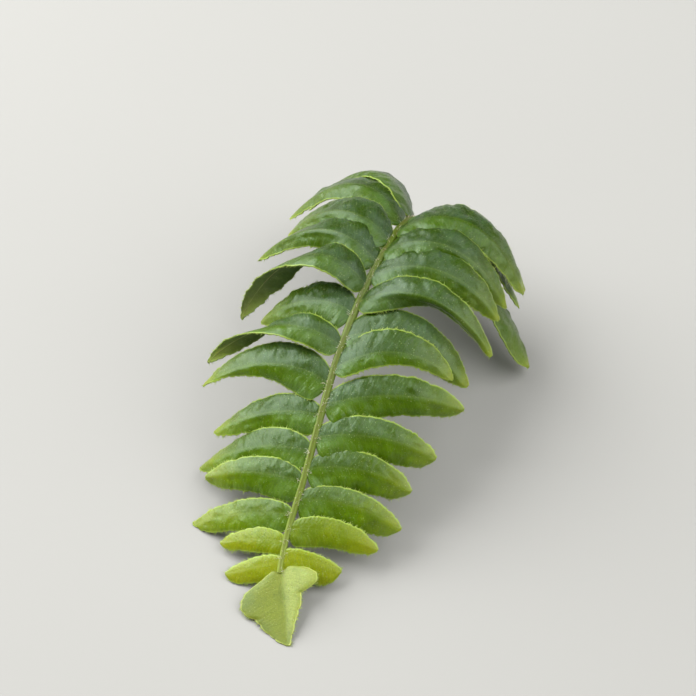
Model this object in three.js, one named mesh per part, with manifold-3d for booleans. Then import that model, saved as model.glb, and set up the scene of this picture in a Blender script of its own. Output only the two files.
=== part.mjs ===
// One frond of a Boston fern (Nephrolepis exaltata), picked and lying right side up on a flat surface.
// The stem arches from the leaf tip at -Y over a low crest and down to its cut end at +Y.
// Leaflets stand on both sides of the stem by turns, each lapping over the next one behind it.
// Millimetres, +Z up, the surface at Z = 0, the origin under the middle of the frond.

import * as THREE from "three";
import { mergeVertices } from "three/addons/utils/BufferGeometryUtils.js";
import Module from "manifold-3d";

// Driving dimensions
const BLADE_THICKNESS = 0.6;
const STEM_RADIUS_AT_TIP = 0.5;
const STEM_RADIUS_AT_CUT = 0.95;
const STEM_SIDES = 8;
const STEM_STEPS = 38;
const STATION_PITCH = 1.4;
const TOOTH_DEPTH = 0.045;
const EDGE_DROOP = 0.1;
const ROOT_LIFT = 0.2;
const HANDLE_GAIN = 1.3;
const HANDLE_SHARES = [0.3, 0.72];
const FOLD_GAIN = 2;
const TRIM_DEPTH = 20;
const WELD = 1e-4;
const CURVE_DIVISIONS = 600;
const ORIGIN_SHIFT = new THREE.Vector3(-3.7, 6.6, 0);

// Middle line of the stem, from the terminal leaflet to the cut end, points set by eye along the arch
const STEM_LINE = [
  [1.7, -47.9, 3.0],
  [1.0, -40.5, 6.3],
  [1.1, -31.0, 11.3],
  [0.9, -21.5, 16.3],
  [0.6, -11.0, 21.0],
  [0.9, 0.0, 24.6],
  [1.5, 11.0, 26.2],
  [2.5, 21.5, 26.2],
  [3.3, 30.0, 23.2],
  [4.0, 36.0, 17.2],
  [4.5, 40.0, 10.0],
  [5.2, 43.5, 3.6],
  [6.0, 46.5, 0.45],
];

// Leaflets from the frond's tip to the cut end, sizes in millimetres, angles in degrees. Each row holds:
//   where the base sits along the stem
//   reach, how far the tip stands out from the stem seen from above
//   lead, how far the tip stands ahead of the base towards the frond's tip
//   height of the tip above the surface
//   bow, how high the midrib arches
//   sweep, how far the midrib bows back
//   greatest width of the rear half, and of the front half
//   tilt, how far the rear edge is turned up from the stem's slope
//   fold, how far the front half is turned along the midrib, below zero for downwards
//   twist, turn added to the tilt on the way to the tip, most of it in the outer half
//   bluntness of the front half, 1 for the bluntest, and below 0 for an outer end narrower than slender
const LEFT_LEAFLETS = [
  [2.5, 10.5, 3.0, 0.8, 0.3, -0.3, 1.8, 3.4, 4, -8, 0, 0.8],
  [6.0, 13.0, 0.5, 1.5, 1.0, 0.2, 2.3, 2.8, 6, -8, 0, 0.7],
  [11.5, 20.0, 3.2, -0.3, 1.7, 0.2, 3.0, 3.6, 8, -4, 0, 0.8],
  [18.0, 20.0, 1.0, 5.5, 2.0, 0.3, 3.5, 4.6, 12, -20, 0, 0.6],
  [24.0, 22.8, 1.8, 2.4, 3.6, 0.6, 4.0, 4.6, 13, -22, -30, 0.5],
  [31.5, 21.5, 2.6, 7.6, 2.6, 0.8, 4.0, 4.4, 13, -22, -25, 0.4],
  [38.0, 26.0, 1.5, 12.0, 4.5, 2.0, 5.0, 5.0, 12, -26, -14, -0.8],
  [46.0, 27.5, 3.5, 11.0, 7.3, 1.5, 4.0, 3.5, 24, -6, -150, -0.2],
  [53.5, 19.8, 0.7, 15.2, 4.0, 1.2, 5.1, 4.8, 14, -22, 0, 0.4],
  [60.5, 27.6, 1.0, 5.6, 13.6, 0.8, 5.2, 3.8, 14, -10, -125, 0.3],
  [66.5, 27.0, -1.0, 15.0, 8.0, 2.0, 6.2, 4.6, 12, -50, -50, 0.3],
  [73.0, 23.0, -0.5, 18.5, 6.5, 2.0, 6.4, 5.0, 13, -25, 0, 0.4],
  [80.0, 27.0, -3.0, 13.0, 7.0, 5.0, 6.4, 5.0, 11, -20, 0, 0.4],
  [87.0, 26.0, -4.0, 9.0, 7.0, 7.0, 6.0, 5.0, 10, -15, 0, 0.4],
  [94.0, 25.0, -3.0, 1.0, 6.0, 1.0, 5.4, 4.6, 10, -10, 0, 0.4],
  [100.0, 22.0, -2.0, 0.0, 5.0, 1.0, 5.0, 4.4, 10, -10, 0, 0.4],
];
const RIGHT_LEAFLETS = [
  [4.0, 11.6, 0.6, 3.0, 0.6, -0.2, 1.4, 4.8, 4, -8, 0, 1],
  [8.5, 17.5, -1.5, 4.8, 1.4, 0.8, 2.6, 3.5, 4, -10, 0, 0.8],
  [14.5, 20.5, -2.0, 6.5, 1.5, 1.0, 3.2, 4.8, 9, -16, 0, 1],
  [20.5, 20.5, -2.5, 10.2, 2.0, 1.2, 3.6, 4.9, 12, -20, 0, 1],
  [27.0, 23.5, -3.5, 13.0, 2.4, 0.8, 4.0, 5.4, 12, -22, 0, 1],
  [33.5, 26.5, -7.0, 17.5, 2.6, 1.0, 4.4, 4.6, 14, -22, 0, 0.7],
  [41.0, 22.6, -6.0, 19.5, 4.8, 2.0, 5.0, 2.9, 12, -12, 0, 0.5],
  [48.0, 25.2, -1.8, 16.8, 4.8, 1.8, 5.9, 4.6, 12, -20, 0, 0.6],
  [56.0, 28.2, 0.4, 21.5, 7.3, 2.2, 4.5, 3.4, 12, -80, 0, 0.4],
  [63.0, 26.4, -3.2, 20.8, 5.8, 2.5, 5.8, 4.6, 12, -30, 0, 0.5],
  [70.0, 26.0, -2.6, 18.6, 7.2, 2.5, 5.6, 4.8, 13, -30, 0, 0.5],
  [77.0, 27.4, -2.0, 16.6, 8.2, 4.0, 6.6, 4.8, 11, -22, 0, 0.4],
  [84.0, 26.2, -1.0, 12.0, 7.0, 3.5, 6.0, 5.0, 10, -15, 0, 0.4],
  [91.0, 25.5, 4.0, 6.8, 7.0, 2.0, 5.6, 4.8, 8, -10, 0, 0.4],
  [97.5, 32.4, 18.2, 2.4, 6.0, 2.0, 8.0, 7.6, 12, -10, 20, 1],
];

// Share of the greatest half width along a leaflet, base to tip. The front half may taper slenderly or
// stay wide up to a blunt end, and each leaflet's own bluntness blends between the two.
const REAR_OUTLINE = [
  [0, 0.1], [0.02, 0.33], [0.06, 0.54], [0.12, 0.72], [0.2, 0.87], [0.3, 0.97], [0.42, 1],
  [0.58, 0.91], [0.74, 0.72], [0.88, 0.44], [0.96, 0.22], [1, 0.07],
];
const SLENDER_FRONT = [
  [0, 0.2], [0.02, 0.7], [0.06, 0.95], [0.14, 1], [0.26, 0.96], [0.4, 0.84], [0.55, 0.7], [0.7, 0.57],
  [0.84, 0.42], [0.94, 0.26], [1, 0.07],
];
const BLUNT_FRONT = [
  [0, 0.2], [0.02, 0.7], [0.06, 0.94], [0.14, 1], [0.3, 0.98], [0.46, 0.94], [0.62, 0.89],
  [0.76, 0.82], [0.88, 0.66], [0.96, 0.38], [1, 0.07],
];

// Terminal leaflet, half widths in millimetres along its length: a broad lobe on the left, a shorter one
// on the right near the base, and both halves raised a little from the midrib, as a shallow trough
const TERMINAL = {
  base: [1.7, -46.6, 3.2],
  tip: [7.9, -61.0, 0],
  bow: 0.2,
  trough: 7,
  stations: 20,
  left: [
    [0, 0.8], [0.06, 2], [0.12, 3.2], [0.2, 4.9], [0.26, 6.4], [0.34, 7.7], [0.43, 8.2], [0.51, 8],
    [0.57, 7.2], [0.62, 5.8], [0.68, 5], [0.77, 4.1], [0.88, 2.6], [0.96, 1.2], [1, 0.3],
  ],
  right: [
    [0, 1], [0.045, 3.2], [0.09, 5.2], [0.15, 6.4], [0.21, 7], [0.27, 6.8], [0.32, 5.8], [0.36, 4.3],
    [0.39, 3.5], [0.48, 3.4], [0.6, 2.8], [0.7, 2], [0.8, 1.6], [0.9, 1], [0.97, 0.6], [1, 0.3],
  ],
};
const ACROSS = [-1, 0, 1];

const UP = new THREE.Vector3(0, 0, 1);
const wasm = await Module();
wasm.setup();

// A closed three.js geometry as a solid that can be joined and cut
function toSolid(geometry) {
  const bare = geometry.index ? geometry.clone() : geometry;
  bare.deleteAttribute("normal");
  bare.deleteAttribute("uv");
  const merged = mergeVertices(bare, WELD);
  return new wasm.Manifold(new wasm.Mesh({
    numProp: 3,
    vertProperties: new Float32Array(merged.attributes.position.array),
    triVerts: new Uint32Array(merged.index.array),
  }));
}

function toGeometry(solid) {
  const mesh = solid.getMesh();
  const geometry = new THREE.BufferGeometry();
  geometry.setAttribute("position", new THREE.BufferAttribute(mesh.vertProperties, 3));
  geometry.setIndex(new THREE.BufferAttribute(mesh.triVerts, 1));
  geometry.computeVertexNormals();
  return geometry;
}

// Value at t of an outline given as [position, value] points
function along(outline, t) {
  const next = Math.max(1, outline.findIndex(([position]) => position >= t));
  const [from, start] = outline[next - 1];
  const [to, end] = outline[next];
  return THREE.MathUtils.lerp(start, end, (t - from) / (to - from));
}

const stemCurve = new THREE.CatmullRomCurve3(
  STEM_LINE.map((point) => new THREE.Vector3(...point)), false, "catmullrom", 0.5);
stemCurve.arcLengthDivisions = CURVE_DIVISIONS;
const STEM_LENGTH = stemCurve.getLength();

// A grid of points with a thickness, as one closed sheet, both faces split along the same diagonals
function sheet(grid) {
  const rows = grid.length;
  const columns = grid[0].length;
  const normals = grid.map((row, i) => row.map((_, j) => {
    const alongRow = grid[Math.min(i + 1, rows - 1)][j].clone().sub(grid[Math.max(i - 1, 0)][j]);
    const acrossRow = row[Math.min(j + 1, columns - 1)].clone().sub(row[Math.max(j - 1, 0)]);
    return alongRow.cross(acrossRow).normalize();
  }));
  const points = [];
  for (const side of [0.5, -0.5]) {
    grid.forEach((row, i) => row.forEach((point, j) => {
      points.push(point.clone().addScaledVector(normals[i][j], side * BLADE_THICKNESS));
    }));
  }
  const at = (i, j, face) => face * rows * columns + i * columns + j;
  const faces = [];
  const quad = (a, b, c, d) => faces.push(a, b, c, a, c, d);
  for (let i = 0; i + 1 < rows; i += 1) {
    for (let j = 0; j + 1 < columns; j += 1) {
      quad(at(i, j, 0), at(i + 1, j, 0), at(i + 1, j + 1, 0), at(i, j + 1, 0));
      faces.push(at(i, j, 1), at(i + 1, j + 1, 1), at(i + 1, j, 1));
      faces.push(at(i, j, 1), at(i, j + 1, 1), at(i + 1, j + 1, 1));
    }
    quad(at(i, 0, 0), at(i, 0, 1), at(i + 1, 0, 1), at(i + 1, 0, 0));
    quad(at(i, columns - 1, 0), at(i + 1, columns - 1, 0), at(i + 1, columns - 1, 1),
      at(i, columns - 1, 1));
  }
  for (let j = 0; j + 1 < columns; j += 1) {
    quad(at(0, j, 0), at(0, j + 1, 0), at(0, j + 1, 1), at(0, j, 1));
    quad(at(rows - 1, j, 0), at(rows - 1, j, 1), at(rows - 1, j + 1, 1), at(rows - 1, j + 1, 0));
  }
  const geometry = new THREE.BufferGeometry();
  geometry.setFromPoints(points);
  geometry.setIndex(faces);
  return geometry;
}

// Points of a blade round its midrib: rear half at negative places across, front half at positive ones
function blade(midrib, towardsTip, stations, halfWidth, turn, side) {
  const grid = [];
  for (let i = 0; i <= stations; i += 1) {
    const t = i / stations;
    const centre = midrib.getPoint(t);
    const run = midrib.getTangent(t);
    const across = towardsTip.clone().addScaledVector(run, -run.dot(towardsTip)).normalize();
    const normal = across.clone().cross(run).multiplyScalar(side);
    grid.push(ACROSS.map((v) => {
      const half = halfWidth(t, v, i);
      const rise = -EDGE_DROOP * half * v * v;
      const angle = turn(t, v);
      const out = half * v * Math.cos(angle) - rise * Math.sin(angle);
      const up = half * v * Math.sin(angle) + rise * Math.cos(angle);
      return centre.clone().addScaledVector(across, out).addScaledVector(normal, up);
    }));
  }
  return sheet(grid);
}

// A midrib from base to tip whose middle stands off the straight line by about the given bend
function bowed(base, tip, bend) {
  const handle = (share) => base.clone().lerp(tip, share).addScaledVector(bend, HANDLE_GAIN);
  return new THREE.CubicBezierCurve3(base, handle(HANDLE_SHARES[0]), handle(HANDLE_SHARES[1]), tip);
}

function leaflet(row, side) {
  const [at, reach, lead, tipHeight, bow, sweep, rear, front, tilt, fold, twist, blunt] = row;
  const place = at / STEM_LENGTH;
  const base = stemCurve.getPointAt(place).addScaledVector(UP, ROOT_LIFT);
  const towardsTip = stemCurve.getTangentAt(place).negate();
  const ahead = new THREE.Vector3(towardsTip.x, towardsTip.y, 0).normalize();
  const outward = new THREE.Vector3(-ahead.y, ahead.x, 0).multiplyScalar(side);
  const tip = base.clone().addScaledVector(outward, reach).addScaledVector(ahead, lead);
  tip.z = tipHeight;
  const bend = UP.clone().multiplyScalar(bow).addScaledVector(ahead, -sweep);
  const midrib = bowed(base, tip, bend);
  const halfWidth = (t, v, i) => {
    const tooth = 1 + (i % 2 ? TOOTH_DEPTH : -TOOTH_DEPTH) * Math.abs(v);
    const frontShare = THREE.MathUtils.lerp(along(SLENDER_FRONT, t), along(BLUNT_FRONT, t), blunt);
    return tooth * (v < 0 ? rear * along(REAR_OUTLINE, t) : front * frontShare);
  };
  const turn = (t, v) => THREE.MathUtils.degToRad(
    (v > 0 ? fold * Math.min(1, FOLD_GAIN * t) : 0) - tilt - twist * t * t);
  const stations = Math.round(midrib.getLength() / STATION_PITCH);
  return blade(midrib, towardsTip, stations, halfWidth, turn, side);
}

function terminalLeaflet() {
  const base = new THREE.Vector3(...TERMINAL.base);
  const tip = new THREE.Vector3(...TERMINAL.tip);
  const midrib = bowed(base, tip, UP.clone().multiplyScalar(TERMINAL.bow));
  const toTheRight = new THREE.Vector3(1, 0, 0);
  const halfWidth = (t, v) => along(v < 0 ? TERMINAL.left : TERMINAL.right, t);
  const turn = (t, v) => THREE.MathUtils.degToRad(Math.sign(v) * TERMINAL.trough);
  return blade(midrib, toTheRight, TERMINAL.stations, halfWidth, turn, -1);
}

// The stem as rings round its line, thicker towards the cut end, closed by a flat fan at each end
function stem() {
  const points = [];
  for (let i = 0; i <= STEM_STEPS; i += 1) {
    const place = i / STEM_STEPS;
    const centre = stemCurve.getPointAt(place);
    const run = stemCurve.getTangentAt(place);
    const sideways = run.clone().cross(UP).normalize();
    const above = sideways.clone().cross(run);
    const radius = THREE.MathUtils.lerp(STEM_RADIUS_AT_TIP, STEM_RADIUS_AT_CUT, Math.sqrt(place));
    for (let k = 0; k < STEM_SIDES; k += 1) {
      const angle = (2 * Math.PI * (k + 0.5)) / STEM_SIDES;
      points.push(centre.clone().addScaledVector(sideways, radius * Math.cos(angle))
        .addScaledVector(above, radius * Math.sin(angle)));
    }
  }
  const faces = [];
  const last = STEM_STEPS * STEM_SIDES;
  for (let k = 0; k < STEM_SIDES; k += 1) {
    const next = (k + 1) % STEM_SIDES;
    for (let i = 0; i < last; i += STEM_SIDES) {
      faces.push(i + k, i + STEM_SIDES + next, i + next, i + k, i + STEM_SIDES + k, i + STEM_SIDES + next);
    }
    if (k > 0 && next > 0) {
      faces.push(0, k, next, last, last + next, last + k);
    }
  }
  const geometry = new THREE.BufferGeometry();
  geometry.setFromPoints(points);
  geometry.setIndex(faces);
  return geometry;
}

// What would dip below the surface is cut off flat there
function belowSurface() {
  const size = 4 * STEM_LENGTH;
  return new THREE.BoxGeometry(size, size, TRIM_DEPTH).translate(0, 0, -TRIM_DEPTH / 2);
}

function frondSolid() {
  let solid = toSolid(stem()).add(toSolid(terminalLeaflet()));
  for (const row of LEFT_LEAFLETS) {
    solid = solid.add(toSolid(leaflet(row, -1)));
  }
  for (const row of RIGHT_LEAFLETS) {
    solid = solid.add(toSolid(leaflet(row, 1)));
  }
  return solid.subtract(toSolid(belowSurface()));
}

const frondMaterial = new THREE.MeshStandardMaterial({ color: 0x3f6b2a, roughness: 0.55, metalness: 0 });
const frond = new THREE.Mesh(toGeometry(frondSolid()), frondMaterial);
frond.name = "frond";
frond.position.copy(ORIGIN_SHIFT);

const group = new THREE.Group();
group.add(frond);

export default group;
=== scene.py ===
# A picked frond of a Boston fern, lying right side up and arched on a pale surface.
# Everything is in the frame of the CAD model, in metres, with the surface at z = 0.
# The frond's tip points along -Y, and its cut stem end along +Y.

import math

import bpy
import numpy as np
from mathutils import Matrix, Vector


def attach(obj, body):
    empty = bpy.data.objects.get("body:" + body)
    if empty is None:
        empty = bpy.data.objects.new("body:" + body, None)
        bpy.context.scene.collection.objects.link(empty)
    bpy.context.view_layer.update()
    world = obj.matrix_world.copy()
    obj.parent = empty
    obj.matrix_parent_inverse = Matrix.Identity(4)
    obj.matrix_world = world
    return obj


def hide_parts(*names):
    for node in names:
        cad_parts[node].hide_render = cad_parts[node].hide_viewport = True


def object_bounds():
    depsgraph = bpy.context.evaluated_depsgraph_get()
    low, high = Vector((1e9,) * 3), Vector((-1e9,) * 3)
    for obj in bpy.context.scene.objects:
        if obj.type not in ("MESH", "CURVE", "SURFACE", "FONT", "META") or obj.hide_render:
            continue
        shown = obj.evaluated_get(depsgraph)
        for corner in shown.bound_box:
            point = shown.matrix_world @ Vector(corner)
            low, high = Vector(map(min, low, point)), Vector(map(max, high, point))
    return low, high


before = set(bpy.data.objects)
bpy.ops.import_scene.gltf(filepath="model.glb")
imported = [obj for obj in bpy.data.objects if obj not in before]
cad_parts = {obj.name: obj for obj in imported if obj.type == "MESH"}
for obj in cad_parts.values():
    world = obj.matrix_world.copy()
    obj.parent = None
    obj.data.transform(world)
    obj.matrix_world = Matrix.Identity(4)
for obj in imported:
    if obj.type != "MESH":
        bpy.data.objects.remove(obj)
cad_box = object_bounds()
MM = 0.001

# The camera
# Looks down on the arch from beyond the frond's tip, turned a little towards +X, as in the photo.
CAMERA_ELEVATION = math.radians(50)
CAMERA_AZIMUTH = math.radians(18)
CAMERA_DISTANCE = 390 * MM
CAMERA_TARGET = Vector((-3.7, 6.6, 15)) * MM
CAMERA_LENS = 100
CAMERA_SENSOR = 36
CAMERA_NEAREST = 10 * MM


def placed(name, data):
    """A new object with its data, in the scene."""
    thing = bpy.data.objects.new(name, data)
    bpy.context.collection.objects.link(thing)
    return thing


away = Vector((
    math.sin(CAMERA_AZIMUTH) * math.cos(CAMERA_ELEVATION),
    -math.cos(CAMERA_AZIMUTH) * math.cos(CAMERA_ELEVATION),
    math.sin(CAMERA_ELEVATION),
))
camera_data = bpy.data.cameras.new("camera")
camera_data.lens = CAMERA_LENS
camera_data.sensor_width = CAMERA_SENSOR
camera_data.clip_start = CAMERA_NEAREST
camera = placed("camera", camera_data)
camera.location = CAMERA_TARGET + away * CAMERA_DISTANCE
camera.rotation_mode = "QUATERNION"
camera.rotation_quaternion = (-away).to_track_quat("-Z", "Y")
bpy.context.scene.camera = camera
bpy.context.scene.view_settings.view_transform = "Standard"

# The surface and the light
# A pale matt table top, faintly cloudy. A strong soft light from the left and a weaker one from the
# right stand for gaps in the leaves overhead, and a dim pale room lights what they leave in shade.
FLOOR_SIZE = 4.0
FLOOR_COLOURS = ("#acacaa", "#b2b2b0")
FLOOR_ROUGHNESS = 0.9
FLOOR_CLOUDS_PER_METRE = 3.0
# Each soft light's name, place and width in metres, and power in watts
SOFTBOXES = [
    ("key", (-0.70, 0.18, 0.62), 1.05, 19.5),
    ("fill", (0.66, 0.12, 0.76), 1.3, 12),
]
SOFTBOX_COLOUR = "#fffefb"
ROOM_COLOUR = "#eef0ea"
ROOM_STRENGTH = 0.1
MIX = "ShaderNodeMix"
NOISE = "ShaderNodeTexNoise"
IN_COLOUR = {"out": 2, "data_type": "RGBA"}


def linear(colour):
    """An sRGB hex colour as the linear red, green, blue and alpha that a node takes."""
    channels = [int(colour[i:i + 2], 16) / 255 for i in (1, 3, 5)]
    return [c / 12.92 if c <= 0.04045 else ((c + 0.055) / 1.055) ** 2.4 for c in channels] + [1.0]


def fill(tree, node, by_socket):
    """Sets or links a node's inputs, given by their names or their order."""
    for socket, value in by_socket.items():
        if isinstance(value, bpy.types.NodeSocket):
            tree.links.new(value, node.inputs[socket])
        else:
            node.inputs[socket].default_value = value


def add(tree, kind, *links, out=0, **settings):
    """Adds a node with its settings, sets or links its inputs, and gives back one of its outputs.

    A maths node's operation comes first. The inputs follow, in the order of the node's sockets or as one
    dictionary by socket name.
    """
    if links and isinstance(links[0], str):
        settings["operation"], *links = links
    node = tree.nodes.new(kind)
    for name, value in settings.items():
        setattr(node, name, value)
    fill(tree, node, links[0] if links and isinstance(links[0], dict) else dict(enumerate(links)))
    return node.outputs[out] if len(node.outputs) else node


def new_finish(name):
    """A material with its tree and its shader, for a look to be added."""
    material = bpy.data.materials.new(name)
    material.use_nodes = True
    return material, material.node_tree, material.node_tree.nodes["Principled BSDF"]


# Matt off-white laminate: an even pale ground that takes soft shadows and no reflections
floor_material, floor_tree, floor_shader = new_finish("matt_table_top")
floor_spot = add(floor_tree, "ShaderNodeTexCoord", out="Object")
floor_cloud = add(floor_tree, NOISE, {"Vector": floor_spot, "Scale": FLOOR_CLOUDS_PER_METRE, "Detail": 4.0})
floor_colour = add(floor_tree, MIX, {"Factor": floor_cloud, "A": linear(FLOOR_COLOURS[0]),
                                     "B": linear(FLOOR_COLOURS[1])}, **IN_COLOUR)
fill(floor_tree, floor_shader, {"Base Color": floor_colour, "Roughness": FLOOR_ROUGHNESS})
floor_mesh = bpy.data.meshes.new("floor")
floor_half = FLOOR_SIZE / 2
floor_corners = [(-floor_half, -floor_half, 0), (floor_half, -floor_half, 0), (floor_half, floor_half, 0),
                 (-floor_half, floor_half, 0)]
floor_mesh.from_pydata(floor_corners, [], [(0, 1, 2, 3)])
floor_mesh.materials.append(floor_material)
floor = placed("floor", floor_mesh)

for name, place, width, power in SOFTBOXES:
    lamp = bpy.data.lights.new(name, "AREA")
    lamp.size = width
    lamp.energy = power
    lamp.color = linear(SOFTBOX_COLOUR)[:3]
    softbox = placed(name, lamp)
    softbox.location = place
    softbox.rotation_mode = "QUATERNION"
    softbox.rotation_quaternion = (-Vector(place)).to_track_quat("-Z", "Y")

room = bpy.data.worlds.new("room")
room.use_nodes = True
room_light = room.node_tree.nodes["Background"]
fill(room.node_tree, room_light, {"Color": linear(ROOM_COLOUR), "Strength": ROOM_STRENGTH})
bpy.context.scene.world = room

# The stem
# The fern's rachis: a thin, tough, slightly grooved stalk that carries all the leaflets, olive green
# with brown on its older end. It grew as one with them, and was cut or snapped at its thick end.
STEM_LINE = [
    (1.7, -47.9, 3.0), (1.0, -40.5, 6.3), (1.1, -31.0, 11.3), (0.9, -21.5, 16.3), (0.6, -11.0, 21.0),
    (0.9, 0.0, 24.6), (1.5, 11.0, 26.2), (2.5, 21.5, 26.2), (3.3, 30.0, 23.2), (4.0, 36.0, 17.2),
    (4.5, 40.0, 10.0), (5.2, 43.5, 3.6), (6.0, 46.5, 0.45),
]
ORIGIN_SHIFT = Vector((-3.7, 6.6, 0))
STEM_RADIUS_AT_TIP = 0.5 * MM
STEM_RADIUS_AT_CUT = 0.95 * MM
STEM_SAMPLES = 600
STEM_STATIONS = 260
STEM_SIDES = 20
STEM_GROOVE = 0.16
STEM_GROOVE_SHARPNESS = 6.0
STEM_SETTLING = 1 * MM
STEM_COLOURS = [
    (0, "#93a63c"), (0.1, "#7b9128"), (0.35, "#657a1b"), (0.65, "#586f16"), (0.9, "#565c17"), (1, "#5f4a20"),
]
# Colour of the painted shade in the furrow on top of the stem
STEM_GROOVE_SHADE_COLOUR = "#46400f"
STEM_STREAK_COLOUR = "#5a3f1a"
STEM_RIB_HEIGHT = 0.08 * MM
MATH = "ShaderNodeMath"
RANGE = "ShaderNodeMapRange"
SMOOTH = {"interpolation_type": "SMOOTHSTEP"}
APART = "ShaderNodeSeparateXYZ"
TOGETHER = "ShaderNodeCombineXYZ"
STORE = "GeometryNodeStoreNamedAttribute"
ARROW = "FLOAT_VECTOR"


def stem_points(line, samples):
    """Points at equal steps of a smooth curve through the line, and its length, in metres."""
    knots = [(Vector(point) + ORIGIN_SHIFT) * MM for point in line]
    knots = [2 * knots[0] - knots[1]] + knots + [2 * knots[-1] - knots[-2]]
    dense = []
    spans = len(line) - 1
    for k in range(samples + 1):
        place = k / samples * spans
        i = min(int(place), spans - 1)
        t = place - i
        a, b, c, d = knots[i:i + 4]
        dense.append(b + 0.5 * t * ((c - a) + t * ((2 * a - 5 * b + 4 * c - d)
                                                   + t * (3 * (b - c) + d - a))))
    steps = [(q - p).length for p, q in zip(dense, dense[1:])]
    travelled = np.concatenate([[0.0], np.cumsum(steps)])
    wanted = np.linspace(0, travelled[-1], samples + 1)
    even = [np.interp(wanted, travelled, [p[axis] for p in dense]) for axis in range(3)]
    return [Vector(p) for p in zip(*even)], travelled[-1]


stem_path, stem_length = stem_points(STEM_LINE, STEM_SAMPLES)


def stem_at(distance):
    """Place on the stem, that far from the frond's tip, and the direction towards the tip."""
    step = min(int(distance / stem_length * STEM_SAMPLES), STEM_SAMPLES - 1)
    share = distance / stem_length * STEM_SAMPLES - step
    place = stem_path[step].lerp(stem_path[step + 1], share)
    before = stem_path[max(step - 1, 0)]
    after = stem_path[min(step + 2, STEM_SAMPLES)]
    return place, (before - after).normalized()


def mesh_object(name, points, edges=(), **attributes):
    """An object of loose points or edges that carries named values for a tree to read."""
    mesh = bpy.data.meshes.new(name)
    mesh.from_pydata([tuple(p) for p in points], list(edges), [])
    for key, values in attributes.items():
        vector = hasattr(values[0], "__len__")
        layer = mesh.attributes.new(key, ARROW if vector else "FLOAT", "POINT")
        layer.data.foreach_set("vector" if vector else "value", np.array(values, "f").ravel())
    return placed(name, mesh)


def new_tree(name, **inputs):
    """A Geometry Nodes tree with its group input, and inputs named and typed by the values given."""
    tree = bpy.data.node_groups.new(name, "GeometryNodeTree")
    tree.interface.new_socket("Geometry", in_out="INPUT", socket_type="NodeSocketGeometry")
    kinds = {int: "NodeSocketInt", float: "NodeSocketFloat", tuple: "NodeSocketVector"}
    for key, value in inputs.items():
        kind = kinds.get(type(value), "NodeSocketMaterial")
        tree.interface.new_socket(key, in_out="INPUT", socket_type=kind)
    tree.interface.new_socket("Geometry", in_out="OUTPUT", socket_type="NodeSocketGeometry")
    tree.nodes.new("NodeGroupInput")
    return tree


def grown(thing, tree, **values):
    """The plain mesh that a tree makes from an object, its inputs set by their identifiers."""
    modifier = thing.modifiers.new(tree.name, "NODES")
    modifier.node_group = tree
    for item in tree.interface.items_tree:
        if item.in_out == "INPUT" and item.name in values:
            modifier[item.identifier] = values[item.name]
    graph = bpy.context.evaluated_depsgraph_get()
    graph.update()
    mesh = bpy.data.meshes.new_from_object(thing.evaluated_get(graph), depsgraph=graph)
    thing.modifiers.remove(modifier)
    return mesh


def finished(tree, shape, finish):
    """Ends a tree: what it made is realized, gets its finish and goes out."""
    shape = add(tree, "GeometryNodeRealizeInstances", {"Geometry": shape})
    shape = add(tree, "GeometryNodeSetMaterial", {"Geometry": shape, "Material": finish})
    add(tree, "NodeGroupOutput", shape)


def colour_at(tree, place, colours, last=1):
    """The colour at a place, blended between the colours given for places from 0 to the last."""
    colour = add(tree, "ShaderNodeValToRGB", place)
    stops = colour.node.color_ramp.elements
    for _ in colours[2:]:
        stops.new(0.5)
    for stop, (position, shade) in zip(stops, colours):
        stop.position = position / last
        stop.color = linear(shade)
    return colour


stem_tree = new_tree("stem_along_its_line", stations=1, sides=1, tip_radius=0.0, cut_radius=0.0, groove=0.0,
                     finish=None)
stem_size = stem_tree.nodes["Group Input"].outputs
line = add(stem_tree, "GeometryNodeMeshToCurve", {"Mesh": stem_size["Geometry"]})
line = add(stem_tree, "GeometryNodeResampleCurve", {"Curve": line, "Count": stem_size["stations"]})
line = add(stem_tree, "GeometryNodeSetCurveNormal", {"Curve": line}, mode="Z_UP")
share = add(stem_tree, "GeometryNodeSplineParameter", out="Factor")
line = add(stem_tree, STORE, {"Geometry": line, "Name": "place", "Value": share})
thickening = add(stem_tree, MATH, "SQRT", share)
radius = add(stem_tree, RANGE, {"Value": thickening, "To Min": stem_size["tip_radius"],
                                "To Max": stem_size["cut_radius"]})

# The line is lifted softly where the stem would sink into the surface
line_spot = add(stem_tree, "GeometryNodeInputPosition")
line_x, line_y, line_z = [add(stem_tree, APART, line_spot, out=axis) for axis in "XYZ"]
clear = add(stem_tree, MATH, "SMOOTH_MAX", line_z, radius, STEM_SETTLING)
line_spot = add(stem_tree, TOGETHER, line_x, line_y, clear)
line = add(stem_tree, "GeometryNodeSetPosition", {"Geometry": line, "Position": line_spot})

# The ring that runs along it has a furrow on top
ring = add(stem_tree, "GeometryNodeCurvePrimitiveCircle", {"Resolution": stem_size["sides"], "Radius": 1.0})
ring_spot = add(stem_tree, "GeometryNodeInputPosition")
ring = add(stem_tree, STORE, {"Geometry": ring, "Name": "ring", "Value": ring_spot}, data_type=ARROW)
ring_x, ring_y = [add(stem_tree, APART, ring_spot, out=axis) for axis in "XY"]
on_top = add(stem_tree, MATH, "LESS_THAN", ring_y, 0.0)
furrow = add(stem_tree, MATH, "MULTIPLY", ring_x, ring_x)
furrow = add(stem_tree, MATH, "MULTIPLY", furrow, -STEM_GROOVE_SHARPNESS)
furrow = add(stem_tree, MATH, "EXPONENT", furrow)
for factor in (stem_size["groove"], on_top):
    furrow = add(stem_tree, MATH, "MULTIPLY", furrow, factor)
furrow = add(stem_tree, TOGETHER, {"Y": furrow})
ring = add(stem_tree, "GeometryNodeSetPosition", {"Geometry": ring, "Offset": furrow})
stalk = add(stem_tree, "GeometryNodeCurveToMesh", {"Curve": line, "Profile Curve": ring, "Scale": radius,
                                                   "Fill Caps": True})
finished(stem_tree, stalk, stem_size["finish"])
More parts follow.
